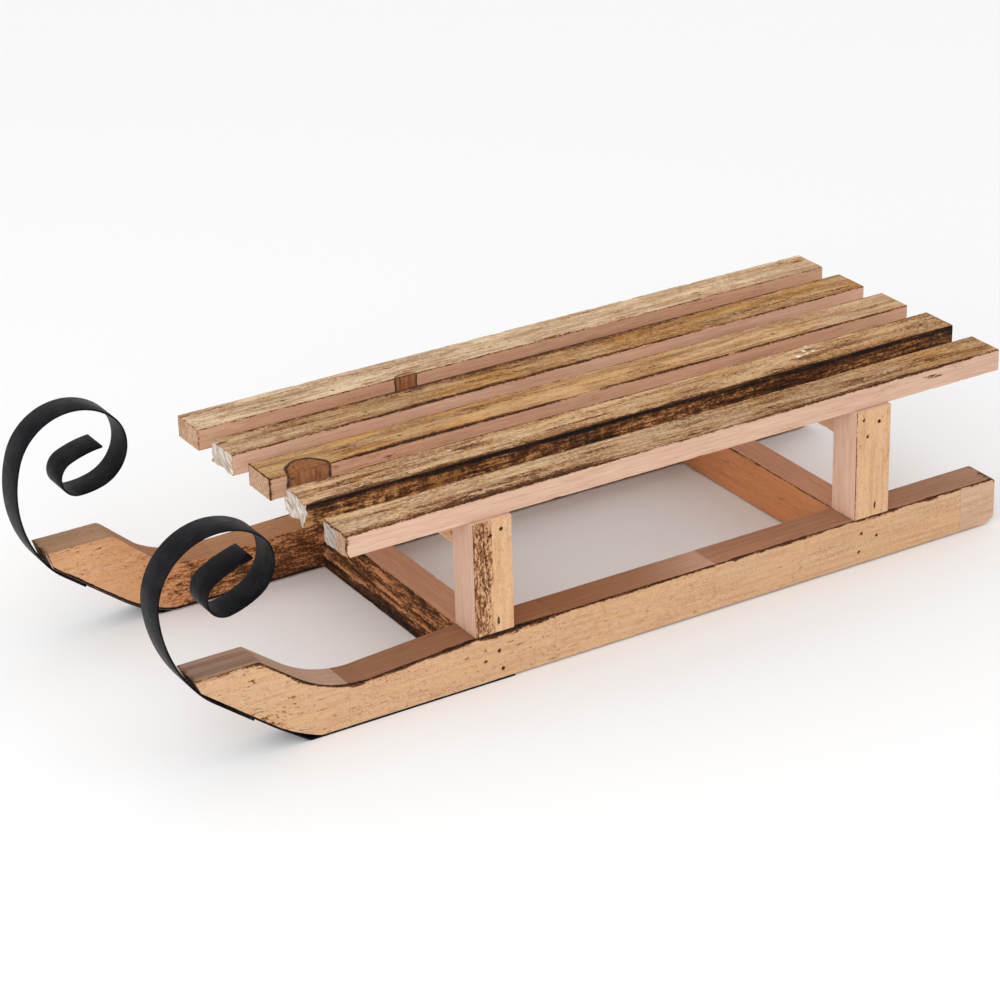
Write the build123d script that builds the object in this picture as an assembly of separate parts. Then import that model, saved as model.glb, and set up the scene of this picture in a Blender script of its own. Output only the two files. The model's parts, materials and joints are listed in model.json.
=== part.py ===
from build123d import *
import os
from math import cos, radians, sin, tan

# A small slatted sledge. +X is the rider's left, -Y is forward and +Z is up.
# It is drawn with the runners' tails at Y = 0 and their wooden undersides at Z = 0. At the end every
# piece moves together, so that the origin is the middle of the bounding box, on the ground.
# All sizes are in millimetres and degrees.

# Seat
base_width = 180
seat_top = 101.2
slat_length = 400
slat_width = 23
slat_thickness = 12
slat_pitch = 38
# The slats are numbered from the rider's right. They were laid by eye, each a little off its even place.
slat_sideways = (0, -0.5, -1.8, -3.0, 0)
slat_backwards = (-2.8, -2.0, 0, 2.4, 0.8)

# Uprights and crossbars
upright_depth = 22.5
upright_thickness = 20
upright_front = {"front": -331.3, "rear": -96.3}
bearer_height = 18
crossbar_depth = 18

# Runners: boards glued up end to end from short blocks, then sawn to shape
runner_length = 485
runner_thickness = 20
runner_height = 26.5
nose_face_run = 3
top_curve_radius = 62
slope_angle = 38
slope_foot = -427.6
tail_top_radius = 3
tail_bottom_run = 8
tail_bottom_rise = 3
tail_bottom_radius = 14
# Where the toes begin to ease away from the straight of the front slopes
toe_ease_height = 14.4

# Steel strips, seen from the side: a scroll is a straight and then (radius, turn) arcs of its outer face
strip_thickness = 1
strip_width = 18
shoe_end = -309
shoe_ease_radius = 120

# What differs between the two sides
SIDES = {
    "left": {
        "sign": 1,
        "forward": 0,
        "nose_height": 49.6,
        "nose_flat": 34.5,
        "nose_rounding": 1.2,
        "top_slope_foot": (-430, 34.1),
        "waist": (-394, 22.6),
        "toe_corner": -419.5,
        "toe_rounding": 3,
        "block_joints": (-403.6, -284.6, -186.1, -23.6),
        "shoe_top": 33.5,
        "shoe_ease": 3.2,
        "shoe_bend_radius": 4.5,
        "lap_bottom": 21,
        "scroll_straight": 25.9,
        "scroll_arcs": (
            (48, 11.6), (77, 36.6), (34.3, 129.6), (19.5, 113), (46.5, 20.2), (10.4, 159.6), (62, 20.5),
        ),
    },
    "right": {
        "sign": -1,
        "forward": 4,
        "nose_height": 52,
        "nose_flat": 37,
        "nose_rounding": 5,
        "top_slope_foot": (-428, 34.6),
        "waist": (-390, 25),
        "toe_corner": -416,
        "toe_rounding": 6,
        "block_joints": (-394.0, -296.0, -171.0, -31.0),
        "shoe_top": 37,
        "shoe_ease": 5.5,
        "shoe_bend_radius": 10,
        "lap_bottom": 28,
        "scroll_straight": 15.5,
        "scroll_arcs": (
            (41.5, 14.7), (65.3, 55.8), (32.4, 113.2), (22.1, 121.6), (42.4, 17), (10.3, 156.4), (57, 19),
        ),
    },
}
BLOCK_NAMES = ("nose", "front", "middle", "rear", "tail")

# Brads, driven below the surface, and the strips' countersunk tacks
brad_radius = 0.6
brad_head_radius = 0.9
brad_head_length = 1
brad_length = 30
brad_sink = 1.5
slat_brad_sink = 0.4
slat_brad_length = 22
toe_brad_length = 18
toe_brad_angle = 35
toe_brad_height = 7.7
toe_brad_behind = 13.5
slat_brad_x = (-70.4, -35.9, -0.1, 36.4, 79.5)
# The brads in the sides, each as (distance behind the upright's front, height above a base): the base is
# the upright's top for the seat bearers, and the runner's underside for the lower crossbars.
upright_brads = {
    "front": ((16.4, -6.5), (10.0, -8.8), (6.7, -12.8)),
    "rear": ((5.1, -5.4), (14.9, -8.4), (7.7, -15.4)),
}
crossbar_brads = {
    "front": ((13.5, 15.6), (5.5, 11.7), (15.5, 5.2)),
    "rear": ((5.3, 17.7), (15.5, 13.9), (3.8, 6.8)),
}
tack_radius = 0.7
tack_head_radius = 1.7
tack_length = 11
shoe_tacks = (-392, -318)
lap_tack_height = {"left": 27, "right": 33}

half_width = base_width / 2
slat_bottom = seat_top - slat_thickness
inner_width = base_width - 2 * runner_thickness
slope = radians(slope_angle)


def box(x, y, z):
    """A box between two X, two Y and two Z values, each given as a pair."""
    middle = ((x[0] + x[1]) / 2, (y[0] + y[1]) / 2, (z[0] + z[1]) / 2)
    return Pos(*middle) * Box(x[1] - x[0], y[1] - y[0], z[1] - z[0])


def side_plate(face, x_low, thickness):
    """Extrude a face, drawn with Y across and Z up, from one X value towards +X."""
    return Pos(x_low, 0, 0) * extrude(Plane.YZ * face, thickness)


def slope_point(height, out=0):
    """A place on the runner's front slope, at a height on the wood and then moved outwards from it."""
    y = slope_foot - height / tan(slope) - out * sin(slope)
    return (y, height - out * cos(slope))


# ---- seat slats ----

def slat_centre(number):
    return (number - 2) * slat_pitch + slat_sideways[number]


def seat_slat(number):
    x = slat_centre(number)
    y = slat_backwards[number]
    return box((x - slat_width / 2, x + slat_width / 2), (y - slat_length, y), (slat_bottom, seat_top))


# ---- frame ----

def upright(end, sign):
    y = upright_front[end]
    x = sorted((sign * half_width, sign * (half_width - upright_thickness)))
    return box(x, (y, y + upright_depth), (runner_height, slat_bottom))


def seat_bearer(end):
    y = upright_front[end]
    x = half_width - upright_thickness
    return box((-x, x), (y, y + upright_depth), (slat_bottom - bearer_height, slat_bottom))


def lower_crossbar(end):
    y = upright_front[end]
    return box((-inner_width / 2, inner_width / 2), (y, y + crossbar_depth), (0, runner_height))


# ---- runners ----

def runner_board(side):
    nose_top = (-runner_length, side["nose_height"])
    nose_back = (-runner_length + side["nose_flat"], side["nose_height"])
    upright_foot = (upright_front["front"], runner_height)
    nose_bottom_y = -runner_length + nose_face_run
    nose_bottom = (nose_bottom_y, (slope_foot - nose_bottom_y) * tan(slope))
    toe_top = slope_point(toe_ease_height)
    toe_corner = (side["toe_corner"], 0)
    tail_top = ((-tail_top_radius, runner_height), (0, runner_height - tail_top_radius))
    tail_bottom = ((0, tail_bottom_rise), (-tail_bottom_run, 0))
    outline = [
        Line(nose_top, nose_back),
        Line(nose_back, side["top_slope_foot"]),
        RadiusArc(side["top_slope_foot"], side["waist"], -top_curve_radius),
        Line(side["waist"], upright_foot),
        Line(upright_foot, tail_top[0]),
        RadiusArc(*tail_top, tail_top_radius),
        Line(tail_top[1], tail_bottom[0]),
        RadiusArc(*tail_bottom, tail_bottom_radius),
        Line(tail_bottom[1], toe_corner),
        TangentArc(toe_top, toe_corner, tangent=(cos(slope), -sin(slope))),
        Line(toe_top, nose_bottom),
        Line(nose_bottom, nose_top),
    ]
    face = make_face(outline)
    for corner, rounding in ((nose_back, side["nose_rounding"]), (toe_corner, side["toe_rounding"])):
        face = fillet(face.vertices().sort_by_distance(corner)[0], rounding)
    outer = side["sign"] * half_width
    inner = side["sign"] * (half_width - runner_thickness)
    board = side_plate(face, min(outer, inner), runner_thickness)
    return Pos(0, -side["forward"], 0) * board


def runner_blocks(side):
    """Saw the board at its glue joints, from the nose to the tail."""
    board = runner_board(side)
    ends = (-2 * runner_length, *side["block_joints"], runner_length)
    blocks = []
    for front, rear in zip(ends, ends[1:]):
        cutter = box((-base_width, base_width), (front, rear), (-seat_top, seat_top))
        blocks.append(board & cutter)
    return blocks


# ---- steel strips ----

def strip_face(start, heading, moves, inset):
    """Walk along one long edge of a bent strip: moves are a straight's length, or an arc's (radius, turn).

    The start and the radii are those of the left edge in the direction of travel, a positive turn is to the
    left, and inset is how far the walked edge lies to the right of it.
    """
    angle = radians(heading)
    point = Vector(start[0] + inset * sin(angle), start[1] - inset * cos(angle))
    edges = []
    for move in moves:
        direction = Vector(cos(radians(heading)), sin(radians(heading)))
        if isinstance(move, tuple):
            radius, turn = move
            radius += inset if turn > 0 else -inset
            edge = JernArc(point, direction, radius, turn)
            heading += turn
        else:
            edge = Line(point, point + direction * move)
        edges.append(edge)
        point = edge @ 1
    return edges


def bent_strip(side, start, heading, moves):
    left = strip_face(start, heading, moves, 0)
    right = strip_face(start, heading, moves, strip_thickness)
    ends = [Line(left[0] @ 0, right[0] @ 0), Line(left[-1] @ 1, right[-1] @ 1)]
    outer = side["sign"] * half_width
    inner = side["sign"] * (half_width - strip_width)
    plate = side_plate(make_face(left + right + ends), min(outer, inner), strip_width)
    return Pos(0, -side["forward"], 0) * plate


def shoe_strip(side):
    """Down the front slope, a little clear of the wood at the toe, and back along the underside."""
    last_angle = slope_angle - side["shoe_ease"]
    last_slope = radians(last_angle)
    eased_height = shoe_ease_radius * (cos(last_slope) - cos(slope))
    bend_height = side["shoe_bend_radius"] * (1 - cos(last_slope))
    on_slope = (side["shoe_top"] - toe_ease_height) / sin(slope)
    to_bend = (toe_ease_height - eased_height - bend_height) / sin(last_slope)
    start = slope_point(side["shoe_top"])
    moves = [
        on_slope, (shoe_ease_radius, side["shoe_ease"]), to_bend, (side["shoe_bend_radius"], last_angle),
    ]
    bend_end = strip_face(start, -slope_angle, moves, 0)[-1] @ 1
    on_flat = shoe_end + side["forward"] - bend_end.X
    return bent_strip(side, start, -slope_angle, moves + [on_flat])


def scroll_strip(side):
    """Laps the shoe strip on the slope, rises past the nose and rolls up backwards."""
    moves = [side["scroll_straight"]] + [(radius, -turn) for radius, turn in side["scroll_arcs"]]
    start = slope_point(side["lap_bottom"], 2 * strip_thickness)
    return bent_strip(side, start, 180 - slope_angle, moves)


# ---- brads and tacks ----

def brad(surface_point, direction, length, sink):
    """A headed brad whose head lies below the surface, and the empty pit that its driving left above it."""
    place = Plane(origin=surface_point, z_dir=direction)
    shank_length = length - brad_head_length
    head = Pos(0, 0, sink + brad_head_length / 2) * Cylinder(brad_head_radius, brad_head_length)
    shank = Pos(0, 0, sink + brad_head_length + shank_length / 2) * Cylinder(brad_radius, shank_length)
    pit = Pos(0, 0, (sink - brad_sink) / 2) * Cylinder(brad_head_radius, sink + brad_sink)
    return place * (head + shank), place * pit


def tack(surface_point, direction):
    """A countersunk tack, flush with the strip it holds."""
    place = Plane(origin=surface_point, z_dir=direction)
    head_depth = tack_head_radius - tack_radius
    head = Pos(0, 0, head_depth / 2) * Cone(tack_head_radius, tack_radius, head_depth)
    shank = Pos(0, 0, (head_depth + tack_length) / 2) * Cylinder(tack_radius, tack_length - head_depth)
    return place * (head + shank)


def slat_brads(end):
    y = upright_front[end] + upright_depth / 2
    return [brad((x, y, seat_top), (0, 0, -1), slat_brad_length, slat_brad_sink) for x in slat_brad_x]


def side_brads(end, places, base):
    """Brads driven inwards through both sides of the sledge."""
    made = []
    for sign in (1, -1):
        for behind, height in places:
            surface = (sign * half_width, upright_front[end] + behind, base + height)
            made.append(brad(surface, (-sign, 0, 0), brad_length, brad_sink))
    return made


def toe_brads():
    """One slanting brad at each upright's foot, down into the runner."""
    made = []
    slant = radians(toe_brad_angle)
    for y in upright_front.values():
        for sign in (1, -1):
            surface = (sign * half_width, y + toe_brad_behind, runner_height + toe_brad_height)
            direction = (-sign * sin(slant), 0, -cos(slant))
            made.append(brad(surface, direction, toe_brad_length, brad_sink))
    return made


def strip_tacks(name):
    """Two tacks up through the shoe strip, and one through the lap on the slope."""
    side = SIDES[name]
    x = side["sign"] * (half_width - strip_width / 2)
    made = [tack((x, y, -strip_thickness), (0, 0, 1)) for y in shoe_tacks]
    y, z = slope_point(lap_tack_height[name], 2 * strip_thickness)
    made.append(tack((x, y - side["forward"], z), (0, sin(slope), cos(slope))))
    return made


# ---- the whole sledge ----

wood = {}
for number in range(len(slat_sideways)):
    wood[f"seat_slat_{number + 1}"] = seat_slat(number)
for end in upright_front:
    wood[f"{end}_seat_bearer"] = seat_bearer(end)
    wood[f"{end}_lower_crossbar"] = lower_crossbar(end)
    for name, side in SIDES.items():
        wood[f"{end}_{name}_upright"] = upright(end, side["sign"])
for name, side in SIDES.items():
    for block_name, block in zip(BLOCK_NAMES, runner_blocks(side)):
        wood[f"{name}_runner_{block_name}_block"] = block

steel = {}
for name, side in SIDES.items():
    steel[f"{name}_shoe_strip"] = shoe_strip(side)
    steel[f"{name}_scroll_strip"] = scroll_strip(side)

brads = {"toe_brads": toe_brads()}
for end in upright_front:
    brads[f"{end}_slat_brads"] = slat_brads(end)
    brads[f"{end}_upright_brads"] = side_brads(end, upright_brads[end], slat_bottom)
    brads[f"{end}_crossbar_brads"] = side_brads(end, crossbar_brads[end], 0)
tacks = {f"{name}_strip_tacks": strip_tacks(name) for name in SIDES}

brad_holes = [solid for group in brads.values() for pair in group for solid in pair]
tack_holes = [solid for group in tacks.values() for solid in group]


def boxes_meet(piece, hole):
    """Whether the bounding boxes of two solids overlap."""
    a = piece.bounding_box()
    b = hole.bounding_box()
    low = (max(a.min.X, b.min.X), max(a.min.Y, b.min.Y), max(a.min.Z, b.min.Z))
    high = (min(a.max.X, b.max.X), min(a.max.Y, b.max.Y), min(a.max.Z, b.max.Z))
    return all(start < stop for start, stop in zip(low, high))


def drilled(piece, holes):
    near = [hole for hole in holes if boxes_meet(piece, hole)]
    return piece.cut(*near) if near else piece


nodes = {name: drilled(piece, brad_holes + tack_holes) for name, piece in wood.items()}
nodes.update({name: drilled(piece, tack_holes) for name, piece in steel.items()})
nodes.update({name: Compound([pair[0] for pair in group]) for name, group in brads.items()})
nodes.update({name: Compound(group) for name, group in tacks.items()})

whole = Compound(list(nodes.values())).bounding_box()
to_origin = Pos(-whole.center().X, -whole.center().Y, -whole.min.Z)

os.makedirs("parts", exist_ok=True)
for name, piece in nodes.items():
    export_step(to_origin * piece, f"parts/{name}.step")
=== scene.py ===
import json
from math import cos, radians, sin

import bpy
import numpy as np
from mathutils import Matrix, Vector


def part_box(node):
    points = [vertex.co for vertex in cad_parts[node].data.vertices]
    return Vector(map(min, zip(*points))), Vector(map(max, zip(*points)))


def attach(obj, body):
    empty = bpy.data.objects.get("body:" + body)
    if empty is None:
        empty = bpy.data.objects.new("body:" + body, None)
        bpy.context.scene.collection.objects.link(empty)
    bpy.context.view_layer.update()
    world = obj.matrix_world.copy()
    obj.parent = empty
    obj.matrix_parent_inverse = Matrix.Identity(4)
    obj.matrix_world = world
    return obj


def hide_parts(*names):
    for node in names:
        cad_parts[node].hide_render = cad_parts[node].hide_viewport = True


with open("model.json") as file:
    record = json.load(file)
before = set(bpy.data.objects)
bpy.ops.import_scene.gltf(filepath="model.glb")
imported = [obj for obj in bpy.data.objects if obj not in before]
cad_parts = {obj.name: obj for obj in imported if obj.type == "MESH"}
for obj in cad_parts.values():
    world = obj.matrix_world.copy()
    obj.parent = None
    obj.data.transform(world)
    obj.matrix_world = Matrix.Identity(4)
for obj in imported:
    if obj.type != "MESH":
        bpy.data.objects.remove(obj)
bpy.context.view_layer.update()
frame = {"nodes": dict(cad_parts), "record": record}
MM = 0.001

# The sledge faces -Y; +X is the rider's left, the side nearer the camera. Lengths are in millimetres, and
# a piece's points are turned to metres as its mesh is made. Camera, lights and floor are in metres.

# -------------------------------------------------------- grid and wear of the wooden pieces
COARSE = 1
GRAIN_STEP = 1.5 * COARSE
CROSS_STEP = 0.55 * COARSE
EDGE_INSETS = (0.15, 0.35, 0.6, 0.9)
MARK_OFFSETS = (-1.15, -0.75, -0.35, 0, 0.35, 0.75, 1.15)
CLOSEST_LINES = 0.12
LAYERS = ("rough", "burn", "warm", "torn", "end", "knot", "paint")
PIT_RADIUS = 0.95
SIDE_PIT_DEPTH = 1.65
SLAT_PIT_DEPTH = 0.7
EDGE_WEAR = 0.3
JOINT_WEAR = 0.06

SLATS = [f"seat_slat_{number}" for number in range(1, 6)]
RUNNER_BLOCKS = ("nose", "front", "middle", "rear", "tail")
SIDES = {"left": 1, "right": -1}
X, Y, Z = range(3)

# Points this near to each other, across a brad, belong to the same brad.
BRAD_SPREAD = 2.1
# A slanting toe brad's points this close to its outermost one are its tip.
TOE_TIP = 0.6
# Brads below this height are a runner's own; the others are the uprights'.
RUNNER_BRADS_BELOW = 27
OUTLINE_SAMPLES = 2400
OUTLINE_INSET = 0.002
SAME_FACE = 0.01


# -------------------------------------------------------- seeded noise
def hashed(cells, seed):
    """One repeatable value from 0 to 1 for each row of three whole numbers."""
    value = cells[:, 0] * 73856093 ^ cells[:, 1] * 19349663 ^ cells[:, 2] * 83492791 ^ seed * 2654435761
    value = value & 0xFFFFFFFF
    for _ in range(2):
        value = (value ^ value >> 16) * 0x45D9F3B & 0xFFFFFFFF
    return (value ^ value >> 16) / 0xFFFFFFFF


def noise(points, size, seed):
    """Smooth values from -1 to 1. The size is how long a lump is along each axis, in mm."""
    scaled = points / np.array(size)
    cell = np.floor(scaled).astype(np.int64)
    part = scaled - cell
    part = part * part * (3 - 2 * part)
    total = np.zeros(len(points))
    for corner in np.ndindex(2, 2, 2):
        weight = np.prod(np.where(corner, part, 1 - part), axis=1)
        total += weight * hashed(cell + corner, seed)
    return 2 * total - 1


def smooth(value, low, high):
    """0 below low, 1 above high, and an S curve between."""
    part = np.clip((value - low) / (high - low), 0, 1)
    return part * part * (3 - 2 * part)


# -------------------------------------------------------- box grids
def grid_lines(low, high, step, marks=()):
    """Where the grid's lines cross one axis: closer together at both ends and around marks."""
    wanted = list(np.linspace(low, high, max(2, round((high - low) / step)) + 1))
    for inset in EDGE_INSETS:
        wanted += [low + inset, high - inset]
    wanted += [mark + offset for mark in marks for offset in MARK_OFFSETS]
    kept = [low]
    for value in sorted(wanted):
        if value - kept[-1] > CLOSEST_LINES and high - value > CLOSEST_LINES:
            kept.append(value)
    return np.array(kept + [high])


def box_surface(lines):
    """Points and outward-facing quads of a box's surface, cut by the grid lines of its three axes."""
    counts = [len(values) for values in lines]
    quads = []
    for axis in range(3):
        across, up = (axis + 1) % 3, (axis + 2) % 3
        i, j = np.meshgrid(np.arange(counts[across] - 1), np.arange(counts[up] - 1), indexing="ij")
        i, j = i.ravel(), j.ravel()
        for end in (0, counts[axis] - 1):
            corners = np.zeros((len(i), 4, 3), dtype=np.int64)
            corners[:, :, axis] = end
            corners[:, :, across] = np.stack([i, i + 1, i + 1, i], axis=1)
            corners[:, :, up] = np.stack([j, j, j + 1, j + 1], axis=1)
            quads.append(corners if end else corners[:, ::-1])
    quads = np.concatenate(quads)
    keys = (quads[..., 0] * counts[1] + quads[..., 1]) * counts[2] + quads[..., 2]
    unique, faces = np.unique(keys, return_inverse=True)
    lattice = np.unravel_index(unique, counts)
    points = np.stack([lines[axis][lattice[axis]] for axis in range(3)], axis=1)
    return points, faces.reshape(-1, 4)


def rounded(points, low, high, radius):
    """Round a box's edges. The radius has a value for each point and axis."""
    core = np.clip(points, low + radius, high - radius)
    out = (points - core) / radius
    length = np.maximum(np.linalg.norm(out, axis=1, keepdims=True), 1e-9)
    return core + out / length * radius


def vertex_normals(points, faces):
    """Area-weighted normals of a quad mesh."""
    corners = points[faces]
    face_normals = np.cross(corners[:, 2] - corners[:, 0], corners[:, 3] - corners[:, 1])
    total = np.zeros_like(points)
    for corner in range(4):
        np.add.at(total, faces[:, corner], face_normals)
    return total / np.maximum(np.linalg.norm(total, axis=1, keepdims=True), 1e-12)


# -------------------------------------------------------- what the frame says
def box_mm(name):
    low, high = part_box(name)
    return np.array(low) / MM, np.array(high) / MM


def vertices_mm(name):
    mesh = frame["nodes"][name].data
    points = np.empty(len(mesh.vertices) * 3)
    mesh.vertices.foreach_get("co", points)
    return points.reshape(-1, 3) / MM


def edges_mm(name):
    mesh = frame["nodes"][name].data
    ends = np.empty(len(mesh.edges) * 2, dtype=np.int32)
    mesh.edges.foreach_get("vertices", ends)
    return vertices_mm(name)[ends.reshape(-1, 2)]


def brad_heads(name, axis):
    """The middle of each brad's head: the outer end of each of the node's slim solids."""
    flat = [other for other in range(3) if other != axis]
    groups = []
    for point in vertices_mm(name):
        for group in groups:
            first = group[0]
            same_side = axis == Z or first[X] * point[X] > 0
            if same_side and np.linalg.norm(first[flat] - point[flat]) < BRAD_SPREAD:
                group.append(point)
                break
        else:
            groups.append([point])
    heads = []
    for group in groups:
        group = np.array(group)
        outer = group[np.argmax(np.abs(group[:, axis]))][axis]
        middle = (group.min(axis=0) + group.max(axis=0)) / 2
        middle[axis] = outer
        heads.append(middle)
    return heads


def toe_slots():
    """Where each slanting toe brad goes in: its outermost end."""
    points = vertices_mm("toe_brads")
    slots = []
    for sign in SIDES.values():
        for y_sign in (1, -1):
            # the rear pair lies behind the middle of the sledge and the front pair before it
            own = points[(points[:, X] * sign > 0) & (points[:, Y] * y_sign > 0)]
            outward = own[:, X] * sign
            slots.append(own[outward > outward.max() - TOE_TIP].mean(axis=0))
    return slots


class Outline:
    """A runner seen from the side: its top and bottom heights at any distance along it."""

    def __init__(self, side):
        names = [f"{side}_runner_{block}_block" for block in RUNNER_BLOCKS]
        sign = SIDES[side]
        segments = np.concatenate([edges_mm(name) for name in names])
        outer = (segments[:, :, X] * sign).max()
        on_face = np.all(np.abs(segments[:, :, X] * sign - outer) < SAME_FACE, axis=1)
        self.segments = segments[on_face][:, :, 1:]
        front = self.segments[:, :, 0].min() + OUTLINE_INSET
        back = self.segments[:, :, 0].max() - OUTLINE_INSET
        self.ys = np.linspace(front, back, OUTLINE_SAMPLES)
        heights = [self.crossings(y) for y in self.ys]
        self.tops = np.array([max(values) for values in heights])
        self.bottoms = np.array([min(values) for values in heights])

    def crossings(self, y):
        first, second = self.segments[:, 0], self.segments[:, 1]
        spans = (first[:, 0] - y) * (second[:, 0] - y) <= 0
        first, second = first[spans], second[spans]
        run = second[:, 0] - first[:, 0]
        level = np.abs(run) < 1e-6
        share = np.where(level, 0, (y - first[:, 0]) / np.where(level, 1, run))
        values = first[:, 1] + share * (second[:, 1] - first[:, 1])
        return np.concatenate([values, second[level, 1]])

    def top(self, y):
        return np.interp(y, self.ys, self.tops)

    def bottom(self, y):
        return np.interp(y, self.ys, self.bottoms)


PITS = {
    "slats": brad_heads("front_slat_brads", Z) + brad_heads("rear_slat_brads", Z),
    "sides": [
        head
        for end in ("front", "rear")
        for kind in ("upright", "crossbar")
        for head in brad_heads(f"{end}_{kind}_brads", X)
    ],
    "slots": toe_slots(),
}
OUTLINES = {side: Outline(side) for side in SIDES}


# -------------------------------------------------------- a wooden piece in the making
class Piece:
    """A wooden piece: its grid, its wear, and the layers that its material reads at each point."""

    def __init__(self, name, grain_axis, seed, marks=((), (), ())):
        self.name = name
        self.seed = seed
        self.grain_axis = grain_axis
        self.low, self.high = box_mm(name)
        steps = [GRAIN_STEP if axis == grain_axis else CROSS_STEP for axis in range(3)]
        self.lines = [
            grid_lines(self.low[axis], self.high[axis], steps[axis], marks[axis]) for axis in range(3)
        ]
        self.points, self.faces = box_surface(self.lines)
        self.flat = self.points.copy()
        count = len(self.points)
        self.look = {layer: np.zeros(count) for layer in LAYERS}
        self.look["tone"] = np.ones(count)
        self.look["flecks"] = np.ones(count)
        self.on = {}
        for axis, letter in enumerate("xyz"):
            self.on["-" + letter] = self.flat[:, axis] <= self.low[axis] + 1e-6
            self.on["+" + letter] = self.flat[:, axis] >= self.high[axis] - 1e-6

    def share(self, axis):
        """0 to 1 along one axis."""
        return (self.flat[:, axis] - self.low[axis]) / (self.high[axis] - self.low[axis])

    def grain(self):
        """Millimetres along the grain and across it, shifted so that no two pieces match."""
        order = [self.grain_axis] + [axis for axis in range(3) if axis != self.grain_axis]
        return self.flat[:, order] + np.array([311.0, 97.0, 53.0]) * self.seed

    def noise(self, size, salt=0):
        """Noise that follows the grain: size is along it, then across it twice."""
        return noise(self.grain(), size, self.seed * 16 + salt)

    def scorch(self, amount):
        """Burn the surface at least this much."""
        self.look["burn"] = np.maximum(self.look["burn"], amount)

    def round_edges(self, wear):
        radius = EDGE_WEAR * (1 + 0.55 * self.noise((9, 9, 9), 1) + 0.35 * self.noise((2.5, 2.5, 2.5), 2))
        chips = smooth(self.noise((5, 5, 5), 3), 0.55, 0.85) * 0.7
        radius = np.clip(radius + chips, 0.1, 1.2)[:, None] * np.array(wear)
        self.points = rounded(self.points, self.low, self.high, np.maximum(radius, JOINT_WEAR))

    def relief(self, rough_depth, sawn_depth):
        """Sink the surface a little, by fibres and long waves; more where it is rough."""
        fibre = 0.5 * self.noise((9, 0.8, 0.8), 4) + 0.5 * self.noise((3.5, 0.55, 0.55), 5)
        wave = self.noise((34, 6, 6), 6)
        rough = self.look["rough"]
        depth = (sawn_depth + (rough_depth - sawn_depth) * rough) * (0.8 + fibre + 0.5 * wave)
        depth += 0.2 * smooth(self.look["burn"], 0.4, 1.1)
        normals = vertex_normals(self.points, self.faces)
        self.points -= normals * np.clip(depth, 0, None)[:, None]

    def pit(self, head, axis, depth, reach=(1, 1), darkness=0.8, rim=1.1):
        """A brad's hole in one face. The reach is how far it stretches from the head, over its radius."""
        across = [other for other in range(3) if other != axis]
        outward = head[axis] > (self.low[axis] + self.high[axis]) / 2
        on_face = self.on[("+" if outward else "-") + "xyz"[axis]]
        offset = (self.flat[:, across] - head[across]) / (np.array(reach) * PIT_RADIUS)
        distance = np.linalg.norm(offset, axis=1) + 0.15 * self.noise((0.8, 0.8, 0.8), 7)
        inside = (1 - smooth(distance, 0.7 * rim, rim)) * on_face
        self.points[:, axis] -= (1 if outward else -1) * inside * depth
        stain = (1 - smooth(distance, 0.6, 1.35)) * on_face
        self.scorch(darkness * stain)

    def finish(self, slot):
        mesh = bpy.data.meshes.new(self.name)
        mesh.vertices.add(len(self.points))
        mesh.vertices.foreach_set("co", (self.points * MM).ravel())
        mesh.loops.add(self.faces.size)
        mesh.loops.foreach_set("vertex_index", self.faces.ravel())
        mesh.polygons.add(len(self.faces))
        mesh.polygons.foreach_set("loop_start", np.arange(0, self.faces.size, 4))
        mesh.update(calc_edges=True)
        mesh.polygons.foreach_set("use_smooth", np.ones(len(self.faces), dtype=bool))
        grain = mesh.attributes.new("grain", "FLOAT_VECTOR", "POINT")
        grain.data.foreach_set("vector", self.grain().ravel())
        for key, values in self.look.items():
            layer = mesh.attributes.new(key, "FLOAT", "POINT")
            layer.data.foreach_set("value", np.asarray(values, dtype=np.float64))
        mesh.materials.append(MATERIALS[slot])
        piece = bpy.data.objects.new(self.name + "_wood", mesh)
        bpy.context.scene.collection.objects.link(piece)
        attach(piece, "root")
        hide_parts(self.name)


# -------------------------------------------------------- materials
def linear(colour):
    """A screen colour of 0 to 255 as the shader's linear RGBA."""
    value = np.array(colour) / 255
    value = np.where(value <= 0.04045, value / 12.92, ((value + 0.055) / 1.055) ** 2.4)
    return (*value, 1)


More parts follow.
